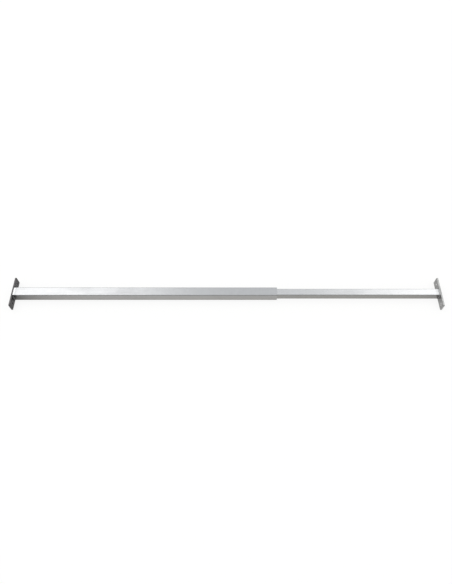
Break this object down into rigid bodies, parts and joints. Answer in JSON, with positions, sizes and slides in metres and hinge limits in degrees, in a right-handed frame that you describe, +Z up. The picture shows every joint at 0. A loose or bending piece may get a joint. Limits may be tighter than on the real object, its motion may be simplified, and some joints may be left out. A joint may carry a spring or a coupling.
{
  "type": "telescopic spreader beam",
  "caption": "Telescopic square-tube beam: a smaller steel tube slides in a larger one, each closed by a welded flat end plate with bolt holes in its ears.",
  "frame": {"origin": "under the middle of the beam, on the surface that it rests on", "axes": "+X along the beam from the larger tube to the smaller, +Y along the end plates towards the lock screw's side, +Z up"},
  "size_m": [1.456, 0.11, 0.032],
  "materials": {
    "tube_steel": "bright zinc, fine lengthwise drawing lines",
    "plate_steel": "bright zinc on hot-rolled flat bar, slightly mottled",
    "weld_steel": "zinc over weld ripples",
    "screw_steel": "black oxide"
  },
  "bodies": {
    "outer_beam": {"outer_tube": "tube_steel", "outer_end_plate": "plate_steel", "outer_weld_front": "weld_steel", "outer_weld_rear": "weld_steel", "outer_weld_top": "weld_steel", "outer_weld_bottom": "weld_steel"},
    "sliding_beam": {"inner_tube": "tube_steel", "inner_end_plate": "plate_steel", "inner_weld_front": "weld_steel", "inner_weld_rear": "weld_steel", "inner_weld_top": "weld_steel", "inner_weld_bottom": "weld_steel"},
    "lock_screw": {"lock_screw": "screw_steel"}
  },
  "joints": [
    {"name": "telescope", "type": "slide", "parent": "outer_beam", "child": "sliding_beam", "axis": [1, 0, 0], "range_m": [-0.545, 0.234]},
    {"name": "lock_screw_turn", "type": "hinge", "parent": "outer_beam", "child": "lock_screw", "pos_m": [0.159, 0.0153, 0.016], "axis": [0, 1, 0], "range_deg": [0, 180]}
  ]
}
